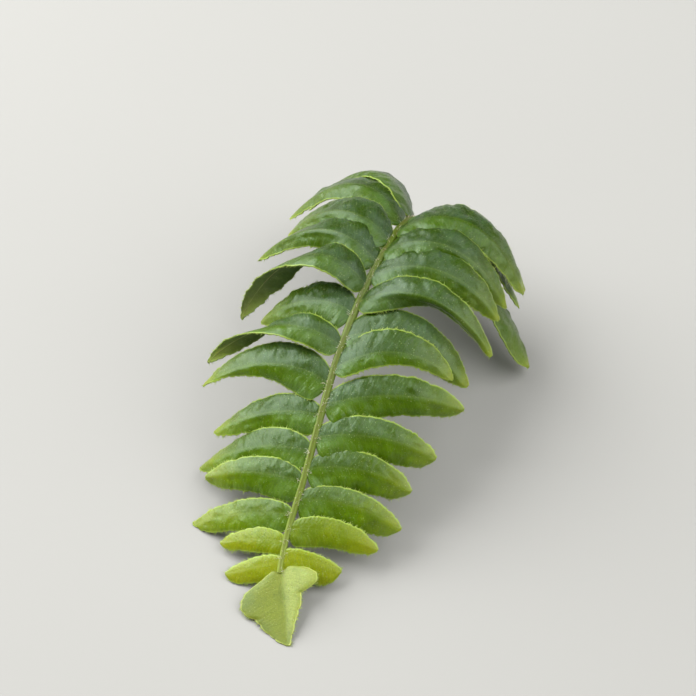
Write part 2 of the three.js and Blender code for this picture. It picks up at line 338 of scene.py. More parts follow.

# Tough green skin, brown where it is oldest, with painted shade in the furrow on top, satin, finely ribbed
# lengthways: a dull shine down one side
stem_finish, skin_tree, skin_shader = new_finish("ribbed_fern_stalk")
place = add(skin_tree, "ShaderNodeAttribute", out="Fac", attribute_name="place")
ring = add(skin_tree, "ShaderNodeAttribute", out="Vector", attribute_name="ring")
ring_x, ring_y = [add(skin_tree, APART, ring, out=axis) for axis in "XY"]
lengthways = add(skin_tree, MATH, "MULTIPLY", place, 28.0)
streak_spot = add(skin_tree, TOGETHER, ring_x, ring_y, lengthways)
streak = add(skin_tree, NOISE, {"Vector": streak_spot, "Scale": 2.6, "Detail": 4.0})
skin = colour_at(skin_tree, place, STEM_COLOURS)
# Painted shade: the furrow on top of the stem is darkened as if in its own shadow
groove_shade = add(skin_tree, RANGE, ring_y, -0.86, -1.0, 0.0, 0.35, **SMOOTH)
streaky = add(skin_tree, RANGE, streak, 0.5, 0.8, 0.0, 0.45, **SMOOTH)
for cover, tint in ((groove_shade, STEM_GROOVE_SHADE_COLOUR), (streaky, STEM_STREAK_COLOUR)):
    skin = add(skin_tree, MIX, {"Factor": cover, "A": skin, "B": linear(tint)}, **IN_COLOUR)
ribbed = add(skin_tree, "ShaderNodeBump", {"Height": streak, "Strength": 1.0, "Distance": STEM_RIB_HEIGHT},
             out="Normal")
fill(skin_tree, skin_shader, {
    "Base Color": skin, "Roughness": 0.42, "IOR": 1.45, "Normal": ribbed, "Subsurface Weight": 0.08,
    "Subsurface Radius": (0.5, 0.8, 0.2), "Subsurface Scale": 0.5 * MM})

stem = mesh_object("stem", stem_path, [(i, i + 1) for i in range(STEM_SAMPLES)])
stem.data = grown(stem, stem_tree, stations=STEM_STATIONS, sides=STEM_SIDES, tip_radius=STEM_RADIUS_AT_TIP,
                  cut_radius=STEM_RADIUS_AT_CUT, groove=STEM_GROOVE, finish=stem_finish)
stem.data.shade_smooth()
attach(stem, "root")
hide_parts("frond")

# The leaflets
# The fern's pinnae: thin, leathery, waxy blades with scalloped edges, puckered between their forked
# veins, each grown from the stem by a short stalk and lapping over the next one behind it.
# Rows from the frond's tip to its cut end, lengths in millimetres and angles in degrees: place along
# the stem, reach outwards, lead towards the tip, height of the tip, bow upwards, sweep back, greatest
# width behind and before the midrib, tilt, fold of the front half (downwards where it is negative),
# twist on the way to the tip, and bluntness of the front half, 0 for slender and 1 for blunt.
LEFT_LEAFLETS = [
    (2.5, 10.5, 3.0, 0.8, 0.3, -0.3, 1.8, 3.4, 4, -8, 0, 0.8),
    (6.0, 13.0, 0.5, 1.5, 1.0, 0.2, 2.3, 2.8, 6, -8, 0, 0.7),
    (11.5, 20.0, 3.2, -0.3, 1.7, 0.2, 3.0, 3.6, 8, -4, 0, 0.8),
    (18.0, 20.0, 1.0, 5.5, 2.0, 0.3, 3.5, 4.6, 12, -20, 0, 0.6),
    (24.0, 22.8, 1.8, 2.4, 3.6, 0.6, 4.0, 4.6, 13, -22, -30, 0.5),
    (31.5, 21.5, 2.6, 7.6, 2.6, 0.8, 4.0, 4.4, 13, -22, -25, 0.4),
    (38.0, 26.0, 1.5, 12.0, 4.5, 2.0, 5.0, 5.0, 12, -26, -14, -0.8),
    (46.0, 27.5, 3.5, 11.0, 7.3, 1.5, 4.0, 3.5, 24, -6, -150, -0.2),
    (53.5, 19.8, 0.7, 15.2, 4.0, 1.2, 5.1, 4.8, 14, -22, 0, 0.4),
    (60.5, 27.6, 1.0, 5.6, 13.6, 0.8, 5.2, 3.8, 14, -10, -125, 0.3),
    (66.5, 27.0, -1.0, 15.0, 8.0, 2.0, 6.2, 4.6, 12, -50, -50, 0.3),
    (73.0, 23.0, -0.5, 18.5, 6.5, 2.0, 6.4, 5.0, 13, -25, 0, 0.4),
    (80.0, 27.0, -3.0, 13.0, 7.0, 5.0, 6.4, 5.0, 11, -20, 0, 0.4),
    (87.0, 26.0, -4.0, 9.0, 7.0, 7.0, 6.0, 5.0, 10, -15, 0, 0.4),
    (94.0, 25.0, -3.0, 1.0, 6.0, 1.0, 5.4, 4.6, 10, -10, 0, 0.4),
    (100.0, 22.0, -2.0, 0.0, 5.0, 1.0, 5.0, 4.4, 10, -10, 0, 0.4),
]
RIGHT_LEAFLETS = [
    (4.0, 11.6, 0.6, 3.0, 0.6, -0.2, 1.4, 4.8, 4, -8, 0, 1),
    (8.5, 17.5, -1.5, 4.8, 1.4, 0.8, 2.6, 3.5, 4, -10, 0, 0.8),
    (14.5, 20.5, -2.0, 6.5, 1.5, 1.0, 3.2, 4.8, 9, -16, 0, 1),
    (20.5, 20.5, -2.5, 10.2, 2.0, 1.2, 3.6, 4.9, 12, -20, 0, 1),
    (27.0, 23.5, -3.5, 13.0, 2.4, 0.8, 4.0, 5.4, 12, -22, 0, 1),
    (33.5, 26.5, -7.0, 17.5, 2.6, 1.0, 4.4, 4.6, 14, -22, 0, 0.7),
    (41.0, 22.6, -6.0, 19.5, 4.8, 2.0, 5.0, 2.9, 12, -12, 0, 0.5),
    (48.0, 25.2, -1.8, 16.8, 4.8, 1.8, 5.9, 4.6, 12, -20, 0, 0.6),
    (56.0, 28.2, 0.4, 21.5, 7.3, 2.2, 4.5, 3.4, 12, -80, 0, 0.4),
    (63.0, 26.4, -3.2, 20.8, 5.8, 2.5, 5.8, 4.6, 12, -30, 0, 0.5),
    (70.0, 26.0, -2.6, 18.6, 7.2, 2.5, 5.6, 4.8, 13, -30, 0, 0.5),
    (77.0, 27.4, -2.0, 16.6, 8.2, 4.0, 6.6, 4.8, 11, -22, 0, 0.4),
    (84.0, 26.2, -1.0, 12.0, 7.0, 3.5, 6.0, 5.0, 10, -15, 0, 0.4),
    (91.0, 25.5, 4.0, 6.8, 7.0, 2.0, 5.6, 4.8, 8, -10, 0, 0.4),
    (97.5, 32.4, 18.2, 2.4, 6.0, 2.0, 8.0, 7.6, 12, -10, 20, 1),
]

# Share of the greatest half width along a leaflet, from its base to its blunt tip
REAR_OUTLINE = [
    (0, 0.1), (0.02, 0.33), (0.06, 0.54), (0.12, 0.72), (0.2, 0.87), (0.3, 0.97), (0.42, 1),
    (0.58, 0.91), (0.74, 0.72), (0.88, 0.44), (0.96, 0.22), (1, 0.07),
]
SLENDER_FRONT = [
    (0, 0.2), (0.02, 0.7), (0.06, 0.95), (0.14, 1), (0.26, 0.96), (0.4, 0.84), (0.55, 0.7),
    (0.7, 0.57), (0.84, 0.42), (0.94, 0.26), (1, 0.07),
]
BLUNT_FRONT = [
    (0, 0.2), (0.02, 0.7), (0.06, 0.94), (0.14, 1), (0.3, 0.98), (0.46, 0.94), (0.62, 0.89),
    (0.76, 0.82), (0.88, 0.66), (0.96, 0.38), (1, 0.07),
]
ROOT_LIFT = 0.2 * MM
HANDLE_GAIN = 1.3
HANDLE_SHARES = (0.3, 0.72)
MIDRIB_STEPS = 16
LOT_STEP = 0.618
FOLD_GAIN = 2.0
BLADE_THICKNESS = 0.28 * MM
BLADE_SHAPE = {
    "stations": 104,
    "columns": 27,
    "crowding": 1.35,
    "droop": 0.16,
    "bulge": 0.12,
    "tooth_pitch": 1.5 * MM,
    "tooth_depth": 0.22 * MM,
    "wave_pitch": 3.2 * MM,
    "wave_depth": 1.0 * MM,
    "pucker_pitch": 2.3 * MM,
    "pucker_height": 0.62 * MM,
    "vein_pitch": 1.5 * MM,
    "vein_depth": 0.018 * MM,
    "vein_width": 0.2 * MM,
    "midrib_depth": 0.02 * MM,
    "fold_width": 1.5 * MM,
    "midrib_width": 0.36 * MM,
    "clearance": BLADE_THICKNESS / 2,
    "ceiling": cad_box[1].z - BLADE_THICKNESS,
    "low": tuple(cad_box[0] + Vector((1, 1, 0)) * BLADE_THICKNESS / 2),
    "high": tuple(cad_box[1] - Vector((1, 1, 1)) * BLADE_THICKNESS / 2),
}
VECTOR = "ShaderNodeVectorMath"
CARRIED = "GeometryNodeInputNamedAttribute"


def midrib_points(base, tip, bend):
    """Points at equal parameters of a cubic curve from base to tip, its middle pushed off by the bend."""
    handles = [base.lerp(tip, share) + bend * HANDLE_GAIN for share in HANDLE_SHARES]
    points = []
    for i in range(MIDRIB_STEPS + 1):
        t = i / MIDRIB_STEPS
        points.append((1 - t) ** 3 * base + 3 * t * (1 - t) ** 2 * handles[0]
                      + 3 * t * t * (1 - t) * handles[1] + t ** 3 * tip)
    return points


def midribs(name, rows, side):
    """The midribs of one side's leaflets as chains of edges, each point carrying its blade's values."""
    points, edges, values = [], [], []
    for number, row in enumerate(rows):
        at, reach, lead, tip_height, bow, sweep, rear, front, tilt, fold, twist, blunt = row
        base, towards_tip = stem_at(at * MM)
        base = base + Vector((0, 0, ROOT_LIFT))
        ahead = Vector((towards_tip.x, towards_tip.y, 0)).normalized()
        outward = Vector((-ahead.y, ahead.x, 0)) * side
        tip = base + (outward * reach + ahead * lead) * MM
        tip.z = tip_height * MM
        bend = (Vector((0, 0, bow)) - ahead * sweep) * MM
        chain = midrib_points(base, tip, bend)
        edges += [(len(points) + i, len(points) + i + 1) for i in range(MIDRIB_STEPS)]
        points += chain
        for i in range(len(chain)):
            values.append({
                "u": i / MIDRIB_STEPS, "side": side, "towards_tip": tuple(towards_tip),
                "rear": rear * MM, "front": front * MM, "tilt": math.radians(tilt),
                "fold": math.radians(fold), "twist": math.radians(twist),
                "blunt": blunt, "at": at * MM, "lot": (2 * number + (side > 0)) * LOT_STEP,
            })
    return mesh_object(name, points, edges, **{key: [v[key] for v in values] for key in values[0]})


def outline_share(tree, outline, place):
    """The share of an outline at a place along the leaflet, smoothed between its points."""
    share = add(tree, "ShaderNodeFloatCurve", {"Value": place})
    curve = share.node.mapping.curves[0]
    for _ in outline[2:]:
        curve.points.new(0.5, 0.5)
    for point, (position, value) in zip(curve.points, outline):
        point.location = (position, value)
        point.handle_type = "AUTO_CLAMPED"
    share.node.mapping.update()
    return share


def off_vein(tree, along, off_midrib, far, pitch):
    """Distance from the nearest vein. The veins leave the midrib aslant and fork on their way out."""
    vein = add(tree, MATH, "MULTIPLY_ADD", off_midrib, -0.5, along)
    vein = add(tree, MATH, "DIVIDE", vein, pitch)
    vein = add(tree, MATH, "ADD", vein, 8.0)
    vein = add(tree, MATH, "FRACT", vein)
    vein = add(tree, MATH, "SUBTRACT", vein, 0.5)
    vein = add(tree, MATH, "ABSOLUTE", vein)
    fork = add(tree, RANGE, far, 0.12, 0.5, 0.0, 0.25, **SMOOTH)
    vein = add(tree, MATH, "SUBTRACT", vein, fork)
    vein = add(tree, MATH, "ABSOLUTE", vein)
    return add(tree, MATH, "MULTIPLY", vein, pitch)


def own_directions(tree, run, towards_tip, side):
    """The directions across a leaflet and out of its upper face, at each point of its midrib."""
    lean = add(tree, VECTOR, "DOT_PRODUCT", run, towards_tip, out="Value")
    across = add(tree, VECTOR, "MULTIPLY", run, lean)
    across = add(tree, VECTOR, "SUBTRACT", towards_tip, across)
    across = add(tree, VECTOR, "NORMALIZE", across)
    normal = add(tree, VECTOR, "CROSS_PRODUCT", across, run)
    return across, add(tree, VECTOR, "MULTIPLY", normal, side)


def blade_tree(name, rear_outline, slender_front, blunt_front, fold_gain):
    """Grows a blade along every midrib: its outline, scallops, fold, pillows, puckers and veins."""
    tree = new_tree(name, finish=None, **BLADE_SHAPE)
    size = tree.nodes["Group Input"].outputs

    # The midrib curves, and the strip that runs along them, with its columns crowded at the edges
    ribs = add(tree, "GeometryNodeMeshToCurve", {"Mesh": size["Geometry"]})
    ribs = add(tree, "GeometryNodeCurveSplineType", {"Curve": ribs}, spline_type="CATMULL_ROM")
    ribs = add(tree, "GeometryNodeResampleCurve", {"Curve": ribs, "Count": size["stations"]})
    spot = add(tree, "GeometryNodeInputPosition")
    tangent = add(tree, "GeometryNodeInputTangent")
    length = add(tree, "GeometryNodeSplineParameter", out="Length")
    for key, what, kind in (("centre", spot, ARROW), ("run", tangent, ARROW), ("along", length, "FLOAT")):
        ribs = add(tree, STORE, {"Geometry": ribs, "Name": key, "Value": what}, data_type=kind)
    strip = add(tree, "GeometryNodeCurvePrimitiveLine", {"Start": (-1, 0, 0), "End": (1, 0, 0)})
    strip = add(tree, "GeometryNodeResampleCurve", {"Curve": strip, "Count": size["columns"]})
    even = add(tree, "GeometryNodeSplineParameter", out="Factor")
    even = add(tree, MATH, "MULTIPLY_ADD", even, 2.0, -1.0)
    crowded = add(tree, MATH, "ABSOLUTE", even)
    crowded = add(tree, MATH, "SUBTRACT", 1.0, crowded)
    crowded = add(tree, MATH, "POWER", crowded, size["crowding"])
    crowded = add(tree, MATH, "SUBTRACT", 1.0, crowded)
    half_sign = add(tree, MATH, "SIGN", even)
    crowded = add(tree, MATH, "MULTIPLY", crowded, half_sign)
    strip = add(tree, STORE, {"Geometry": strip, "Name": "v", "Value": crowded})
    blades = add(tree, "GeometryNodeCurveToMesh", {"Curve": ribs, "Profile Curve": strip})

    # What each point carries: u along the leaflet, v across it, and its blade's sizes and angles
    numbers = ("u", "v", "along", "side", "rear", "front", "tilt", "fold", "twist", "blunt", "at", "lot")
    u, v, along, side, rear, front, tilt, fold, twist, blunt, at, lot = [
        add(tree, CARRIED, {"Name": key}, data_type="FLOAT") for key in numbers]
    centre, run, towards_tip = [
        add(tree, CARRIED, {"Name": key}, data_type=ARROW) for key in ("centre", "run", "towards_tip")]
    far = add(tree, MATH, "ABSOLUTE", v)
    in_front = add(tree, MATH, "GREATER_THAN", v, 0.0)

    # Half widths, from the outlines
    rear_share = outline_share(tree, rear_outline, u)
    rear_half = add(tree, MATH, "MULTIPLY", rear, rear_share)
    slender = outline_share(tree, slender_front, u)
    broad = outline_share(tree, blunt_front, u)
    front_share = add(tree, MIX, {"Factor": blunt, "A": slender, "B": broad}, clamp_factor=False)
    front_half = add(tree, MATH, "MULTIPLY", front, front_share)
    half = add(tree, MIX, {"Factor": in_front, "A": rear_half, "B": front_half})

    # Small teeth along the very edge, uneven in step, and slower waves under them
    beat = add(tree, MATH, "DIVIDE", along, size["tooth_pitch"])
    drift = add(tree, MATH, "MULTIPLY_ADD", lot, 7.0, beat)
    drift = add(tree, NOISE, {"W": drift, "Scale": 0.35, "Detail": 1.0}, noise_dimensions="1D")
    beat = add(tree, MATH, "MULTIPLY_ADD", drift, 2.2, beat)
    start = add(tree, MATH, "MULTIPLY_ADD", in_front, 0.43, lot)
    beat = add(tree, MATH, "ADD", beat, start)
    scallop = add(tree, MATH, "MULTIPLY", beat, math.pi)
    scallop = add(tree, MATH, "SINE", scallop)
    scallop = add(tree, MATH, "ABSOLUTE", scallop)
    scallop = add(tree, MATH, "POWER", scallop, 0.6)
    scallop = add(tree, MATH, "SUBTRACT", scallop, 0.75)
    deeper_outwards = add(tree, MATH, "MULTIPLY_ADD", u, 0.9, 0.45)
    at_the_edge = add(tree, MATH, "POWER", far, 7.0)
    for factor in (deeper_outwards, size["tooth_depth"], at_the_edge):
        scallop = add(tree, MATH, "MULTIPLY", scallop, factor)
    wave = add(tree, MATH, "DIVIDE", along, size["wave_pitch"])
    wave = add(tree, MATH, "MULTIPLY_ADD", lot, 11.0, wave)
    wave = add(tree, NOISE, {"W": wave, "Scale": 1.0, "Detail": 1.0}, noise_dimensions="1D")
    wave = add(tree, MATH, "SUBTRACT", wave, 0.5)
    near_the_edge = add(tree, MATH, "POWER", far, 3.0)
    for factor in (near_the_edge, u):
        wave = add(tree, MATH, "MULTIPLY", wave, factor)
    half = add(tree, MATH, "MULTIPLY_ADD", wave, size["wave_depth"], half)
    half = add(tree, MATH, "ADD", half, scallop)
    half = add(tree, MATH, "MAXIMUM", half, 0.05 * MM)
    out = add(tree, MATH, "MULTIPLY", half, v)
    off_midrib = add(tree, MATH, "ABSOLUTE", out)

    # Height over the midrib: edges that droop, and a pillow on each half
    rise = add(tree, MATH, "MULTIPLY", half, size["droop"])
    far_squared = add(tree, MATH, "MULTIPLY", far, far)
    rise = add(tree, MATH, "MULTIPLY", rise, far_squared)
    pillow = add(tree, MATH, "SUBTRACT", 1.0, far)
    for factor in (far_squared, 1.7, half, size["bulge"]):
        pillow = add(tree, MATH, "MULTIPLY", pillow, factor)
    rise = add(tree, MATH, "SUBTRACT", pillow, rise)

    # Puckers, longer across the leaflet than along it, flat at the midrib and on the youngest blades
    across_stretched = add(tree, MATH, "MULTIPLY", out, 0.45)
    along_stretched = add(tree, MATH, "MULTIPLY", along, 0.8)
    leaf_spot = add(tree, TOGETHER, along_stretched, across_stretched)
    per_pucker = add(tree, MATH, "DIVIDE", 1.0, size["pucker_pitch"])
    leaf_spot = add(tree, VECTOR, "SCALE", {0: leaf_spot, "Scale": per_pucker})
    own_layer = add(tree, MATH, "MULTIPLY", lot, 9.0)
    own_layer = add(tree, TOGETHER, {"Z": own_layer})
    leaf_spot = add(tree, VECTOR, "ADD", leaf_spot, own_layer)
    pucker = add(tree, NOISE, {"Vector": leaf_spot, "Scale": 1.0, "Detail": 3.0, "Roughness": 0.55})
    pucker = add(tree, MATH, "SUBTRACT", pucker, 0.5)
    flat_midrib = add(tree, MATH, "MULTIPLY", far, 2.5)
    flat_midrib = add(tree, MATH, "MINIMUM", 1.0, flat_midrib)
    grown_up = add(tree, MATH, "MULTIPLY_ADD", at, 1 / (18 * MM), 0.3)
    grown_up = add(tree, MATH, "MINIMUM", 1.0, grown_up)
    where_wide = add(tree, RANGE, half, 0.0, 4 * MM, 0.1, 2.6)
    for factor in (size["pucker_height"], flat_midrib, flat_midrib, grown_up, where_wide):
        pucker = add(tree, MATH, "MULTIPLY", pucker, factor)
    rise = add(tree, MATH, "ADD", rise, pucker)

    # Veins that leave the midrib aslant, fork on their way out, and are sunk a little like the midrib
    vein = off_vein(tree, along, off_midrib, far, size["vein_pitch"])
    vein = add(tree, RANGE, vein, 0.0, size["vein_width"], 1.0, 0.0, **SMOOTH)
    short_of_edge = add(tree, RANGE, far, 0.85, 0.97, 1.0, 0.0)
    for factor in (short_of_edge, size["vein_depth"]):
        vein = add(tree, MATH, "MULTIPLY", vein, factor)
    midrib = add(tree, RANGE, off_midrib, 0.0, size["midrib_width"], 1.0, 0.0, **SMOOTH)
    midrib = add(tree, MATH, "MULTIPLY", midrib, size["midrib_depth"])
    for channel in (vein, midrib):
        rise = add(tree, MATH, "SUBTRACT", rise, channel)

    # The angle of each half about the midrib: the front one bends down over a short width
    full_fold = add(tree, MATH, "MULTIPLY", u, fold_gain)
    full_fold = add(tree, MATH, "MINIMUM", full_fold, 1.0)
    bend_start = add(tree, MATH, "MULTIPLY", size["fold_width"], -0.3)
    bent = add(tree, RANGE, out, bend_start, size["fold_width"], **SMOOTH)
    angle = add(tree, MATH, "MULTIPLY", fold, full_fold)
    angle = add(tree, MATH, "MULTIPLY", angle, bent)
    angle = add(tree, MATH, "SUBTRACT", angle, tilt)
    u_squared = add(tree, MATH, "MULTIPLY", u, u)
    turned = add(tree, MATH, "MULTIPLY", twist, u_squared)
    angle = add(tree, MATH, "SUBTRACT", angle, turned)
    cosine = add(tree, MATH, "COSINE", angle)
    sine = add(tree, MATH, "SINE", angle)
    across, normal = own_directions(tree, run, towards_tip, side)

    # Each point put in its place, above the surface that the frond lies on and inside the CAD box
    out_level = add(tree, MATH, "MULTIPLY", out, cosine)
    rise_aslant = add(tree, MATH, "MULTIPLY", rise, sine)
    sideways = add(tree, MATH, "SUBTRACT", out_level, rise_aslant)
    out_aslant = add(tree, MATH, "MULTIPLY", out, sine)
    upwards = add(tree, MATH, "MULTIPLY_ADD", rise, cosine, out_aslant)
    place = add(tree, VECTOR, "MULTIPLY_ADD", across, sideways, centre)
    place = add(tree, VECTOR, "MULTIPLY_ADD", normal, upwards, place)
    place_x, place_y, place_z = [add(tree, APART, place, out=axis) for axis in "XYZ"]
    clear = add(tree, MATH, "MAXIMUM", place_z, size["clearance"])
    clear = add(tree, MATH, "SMOOTH_MIN", clear, size["ceiling"], 1 * MM)
    place = add(tree, TOGETHER, place_x, place_y, clear)
    place = add(tree, VECTOR, "MAXIMUM", place, size["low"])
    place = add(tree, VECTOR, "MINIMUM", place, size["high"])

    # What the finish and the hairs read: distance out, distance in from the edge, and the way off it
    edge_way = add(tree, VECTOR, "MULTIPLY", across, cosine)
    edge_way = add(tree, VECTOR, "MULTIPLY_ADD", normal, sine, edge_way)
    v_sign = add(tree, MATH, "SIGN", v)
    edge_way = add(tree, VECTOR, "MULTIPLY", edge_way, v_sign)
    inset = add(tree, MATH, "SUBTRACT", 1.0, far)
    inset = add(tree, MATH, "MULTIPLY", half, inset)
    for key, what, kind in (("out", out, "FLOAT"), ("inset", inset, "FLOAT"), ("edge_way", edge_way, ARROW)):
        blades = add(tree, STORE, {"Geometry": blades, "Name": key, "Value": what}, data_type=kind)
    blades = add(tree, "GeometryNodeSetPosition", {"Geometry": blades, "Position": place})
    on_the_left = add(tree, MATH, "LESS_THAN", side, 0.0)
    blades = add(tree, "GeometryNodeFlipFaces", {"Mesh": blades, "Selection": on_the_left})
    blades = add(tree, "GeometryNodeSetShadeSmooth", {"Geometry": blades, "Shade Smooth": True})
    finished(tree, blades, size["finish"])
    return tree


left_leaflets = midribs("left_leaflets", LEFT_LEAFLETS, -1)
right_leaflets = midribs("right_leaflets", RIGHT_LEAFLETS, 1)
bare_midribs = [left_leaflets.data.copy(), right_leaflets.data.copy()]
leaflet_tree = blade_tree("leaflets_along_their_midribs", REAR_OUTLINE, SLENDER_FRONT, BLUNT_FRONT, FOLD_GAIN)

# Place of the last colour by age, in millimetres from the frond's tip, and colours of the small marks
OLDEST = 60
SPECK_COLOUR = "#1f3206"
GRAIN_COLOUR = "#2c4708"
VEIN_COLOUR = "#9bb053"
MIDRIB_COLOUR = "#8aa03c"
# Colours of the painted sheens: sky on the rear halves and near the stem, and pale on the outer ends
PAINTED_SHEEN_COLOUR = "#7a9885"
PAINTED_END_SHEEN_COLOUR = "#7f8c45"
DEEP_COLOUR = "#2b4a02"
DOT_COLOUR = "#c4d39a"
SHEEN_COLOUR = "#dcf7e6"


def leaf_finish(name, by_age, front_lighting_tint, edge_colour, bloom, roughness, bump, tint_from=6, painted_sheen=0.0):
    """A living fern blade: colour by age, a front half tinted with painted light, fine marks, a haze of
    painted sheen and a pale rim.
    """
    material, tree, shader = new_finish(name)

    # Millimetres along and across the leaflet, so that the patterns follow it
    lengths = [add(tree, "ShaderNodeAttribute", out="Fac", attribute_name=key)
               for key in ("along", "out", "inset", "at")]
    along, out, inset, at = [add(tree, MATH, "MULTIPLY", length, 1 / MM) for length in lengths]
    u, v, lot = [add(tree, "ShaderNodeAttribute", out="Fac", attribute_name=key) for key in ("u", "v", "lot")]
    far = add(tree, MATH, "ABSOLUTE", v)
    off_midrib = add(tree, MATH, "ABSOLUTE", out)
    own_layer = add(tree, MATH, "MULTIPLY", lot, 30.0)
    spot = add(tree, TOGETHER, along, out, own_layer)
    cloud = add(tree, NOISE, {"Vector": spot, "Scale": 0.28, "Detail": 3.0})
    grain = add(tree, NOISE, {"Vector": spot, "Scale": 3.2, "Detail": 3.0, "Roughness": 0.6})
    patch = add(tree, NOISE, {"Vector": spot, "Scale": 0.5, "Detail": 1.0})
    haze = add(tree, NOISE, {"Vector": spot, "Scale": 0.2, "Detail": 3.0, "Roughness": 0.6})

    # Colour by age: leaflets near the frond's tip, and their outer ends, are the youngest
    u_squared = add(tree, MATH, "MULTIPLY", u, u)
    youth = add(tree, MATH, "SUBTRACT", 1.0, u_squared)
    age = add(tree, MATH, "MULTIPLY_ADD", cloud, 7.0, -3.5)
    age = add(tree, MATH, "MULTIPLY_ADD", at, youth, age)
    age = add(tree, MATH, "DIVIDE", age, OLDEST)
    colour = colour_at(tree, age, by_age, OLDEST)

    # Painted light: the front half is tinted brighter, as if lit through from behind, from a short way off
    # the tip on, less so on the oldest leaflets
    grown_up = add(tree, RANGE, at, tint_from, tint_from + 8, **SMOOTH)
    front_lighting_strength = add(tree, RANGE, at, 25, 60, 0.58, 0.28, **SMOOTH)
    front = add(tree, MATH, "MULTIPLY_ADD", cloud, 2.4, out)
    front = add(tree, RANGE, front, 0.5, 2.6, **SMOOTH)
    front = add(tree, MATH, "MULTIPLY", front, grown_up)

    # Veins that fork on their way out, and the midrib
    vein = off_vein(tree, along, off_midrib, far, BLADE_SHAPE["vein_pitch"] / MM)
    vein = add(tree, RANGE, vein, 0.03, 0.14, 1.0, 0.0, **SMOOTH)
    short_of_edge = add(tree, RANGE, far, 0.85, 0.97, 1.0, 0.0, **SMOOTH)
    vein = add(tree, MATH, "MULTIPLY", vein, short_of_edge)
    midrib = add(tree, RANGE, off_midrib, 0.05, 0.28, 1.0, 0.0, **SMOOTH)

    # Dark specks and pale dots in patches, and an even grain
    speck = add(tree, "ShaderNodeTexVoronoi", {"Vector": spot, "Scale": 2.6}, out="Distance")
    speck = add(tree, RANGE, speck, 0.12, 0.32, 1.0, 0.0, **SMOOTH)
    speckled = add(tree, RANGE, patch, 0.45, 0.65, **SMOOTH)
    speck = add(tree, MATH, "MULTIPLY", speck, speckled)
    dot = add(tree, "ShaderNodeTexVoronoi", {"Vector": spot, "Scale": 1.9}, out="Distance")
    dot = add(tree, RANGE, dot, 0.08, 0.2, 1.0, 0.0, **SMOOTH)
    dotted = add(tree, RANGE, patch, 0.4, 0.55, **SMOOTH)
    dot = add(tree, MATH, "MULTIPLY", dot, dotted)
    grained = add(tree, RANGE, grain, 0.35, 0.7, **SMOOTH)

    # A haze of painted bluish sheen on the rear half and near the stem, deeper green in random patches where
    # it is thin, and painted pale sheen on the outer ends
    inner = add(tree, RANGE, u, 0.15, 0.5, 1.0, 0.0, **SMOOTH)
    behind = add(tree, RANGE, out, -1.2, 0.3, 1.0, 0.0, **SMOOTH)
    painted_sheen_cover = add(tree, MATH, "MAXIMUM", inner, behind)
    thick = add(tree, RANGE, haze, 0.38, 0.62, **SMOOTH)
    for factor in (thick, grown_up):
        painted_sheen_cover = add(tree, MATH, "MULTIPLY", painted_sheen_cover, factor)
    deep = add(tree, RANGE, haze, 0.32, 0.56, 1.0, 0.0, **SMOOTH)
    deep = add(tree, MATH, "MULTIPLY", deep, grown_up)
    # Painted pale sheen on the outer ends, stronger in patches
    end_sheen = add(tree, RANGE, u, 0.55, 0.9, **SMOOTH)
    end_sheen_strength = add(tree, RANGE, cloud, 0.3, 0.6, 0.12, 0.34, **SMOOTH)
    end_sheen = add(tree, MATH, "MULTIPLY", end_sheen, end_sheen_strength)
    rim = add(tree, RANGE, inset, 0.09, 0.34, 1.0, 0.0, **SMOOTH)

    # The marks laid over the colour one after another, each with its strength
    marks = [
        # Painted light on the front half
        (front, front_lighting_strength, front_lighting_tint),
        (speck, 0.45, SPECK_COLOUR),
        (grained, 0.22, GRAIN_COLOUR),
        (vein, 0.05, VEIN_COLOUR),
        (midrib, 0.1, MIDRIB_COLOUR),
        # Painted sky sheen, then the painted pale sheen of the outer ends
        (painted_sheen_cover, painted_sheen, PAINTED_SHEEN_COLOUR),
        (end_sheen, grown_up, PAINTED_END_SHEEN_COLOUR),
        (deep, 0.28, DEEP_COLOUR),
        (dot, 0.4, DOT_COLOUR),
        (rim, 0.7, edge_colour),
    ]
    for mark, strength, tint in marks:
        cover = add(tree, MATH, "MULTIPLY", mark, strength)
        colour = add(tree, MIX, {"Factor": cover, "A": colour, "B": linear(tint)}, **IN_COLOUR)

    # Waxy and finely grained, which breaks the light up, and thin enough for some of it to pass
    rough = add(tree, MATH, "MULTIPLY_ADD", grain, 0.16, roughness - 0.08)
    relief = add(tree, MATH, "MULTIPLY_ADD", vein, -0.2, grain)
    bumpy = add(tree, "ShaderNodeBump", {"Height": relief, "Strength": 1.0, "Distance": bump}, out="Normal")
    fill(tree, shader, {
        "Base Color": colour, "Roughness": rough, "Normal": bumpy, "IOR": 1.5,
        "Specular IOR Level": bloom, "Specular Tint": linear(SHEEN_COLOUR), "Subsurface Weight": 0.25,
        "Subsurface Radius": (0.45, 1.0, 0.08), "Subsurface Scale": 0.5 * MM})
    return material


# Cuticle over green tissue: mid to dark yellow-green, satin, with a pale sky bloom on what faces up, partly a
# painted bluish sheen
upper_finish = leaf_finish(
    "waxy_fern_blade", [(0, "#969f1c"), (2, "#919d0e"), (4, "#8a9808"), (6, "#7d8f04"), (8.5, "#6b8002"),
                        (11, "#577002"), (16, "#476002"), (30, "#395203"), (60, "#2c4206")],
    front_lighting_tint="#6a9003", edge_colour="#a9c154", bloom=0.46, roughness=0.29, bump=0.06 * MM, painted_sheen=0.12)
# The underside has no wax and no painted sheen: duller, yellower and more even, with its veins standing out a
# little
under_finish = leaf_finish(
    "fern_blade_underside", [(0, "#909e47"), (6, "#7e8e2f"), (14, "#697c26"), (24, "#556d25"),
                             (40, "#46601e"), (60, "#3e591b")],
    front_lighting_tint="#4a6620", edge_colour="#7e943a", bloom=0.35, roughness=0.62, bump=-0.03 * MM)
# The very edge, where the blade is thin and lets light through: paler and yellower than the faces
edge_finish = leaf_finish(
    "fern_blade_edge", [(0, "#98a44f"), (6, "#88973a"), (14, "#7e9235"), (24, "#768b32"), (40, "#6c832d"),
                        (60, "#637c29")],
    front_lighting_tint="#768b32", edge_colour="#85983d", bloom=0.5, roughness=0.5, bump=0.01 * MM)


